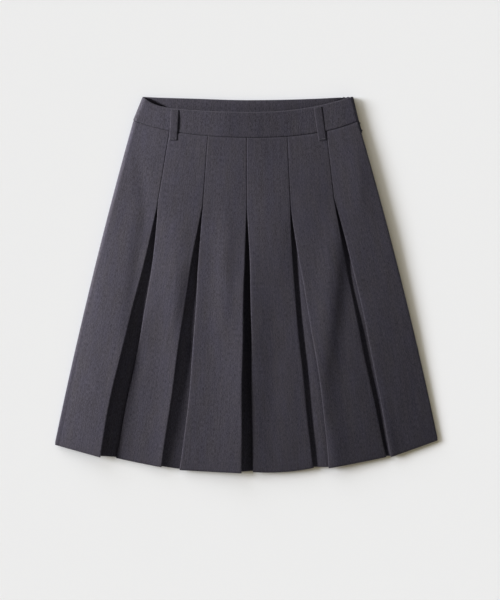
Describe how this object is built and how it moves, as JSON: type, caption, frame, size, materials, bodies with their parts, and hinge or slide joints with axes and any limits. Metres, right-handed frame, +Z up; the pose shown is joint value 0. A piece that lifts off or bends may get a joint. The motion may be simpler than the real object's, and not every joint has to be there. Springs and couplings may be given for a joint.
{
  "type": "pleated midi skirt",
  "caption": "A-line midi skirt with stitched-down inverted box pleats, a shaped waistband and belt loops, laid flat with its front up.",
  "frame": {"origin": "centre of the skirt's box on the surface it lies on", "axes": "+Z up from the surface through back and front, +Y towards the waist, +X towards the right-hand side seam as seen from above (the wearer's left)"},
  "size_m": [0.6312, 0.6204, 0.0192],
  "materials": {
    "cloth": "matt charcoal wool-type twill with a fine melange",
    "zip_tape": "plain woven polyester tape, dark grey"
  },
  "bodies": {
    "root": {"skirt_front": "cloth", "skirt_back": "cloth", "waistband_front": "cloth", "waistband_back": "cloth", "belt_loop_front_left": "cloth", "belt_loop_front_right": "cloth", "belt_loop_side_left": "cloth", "belt_loop_side_right": "cloth", "belt_loop_back": "cloth", "side_zip": "zip_tape"}
  },
  "joints": []
}
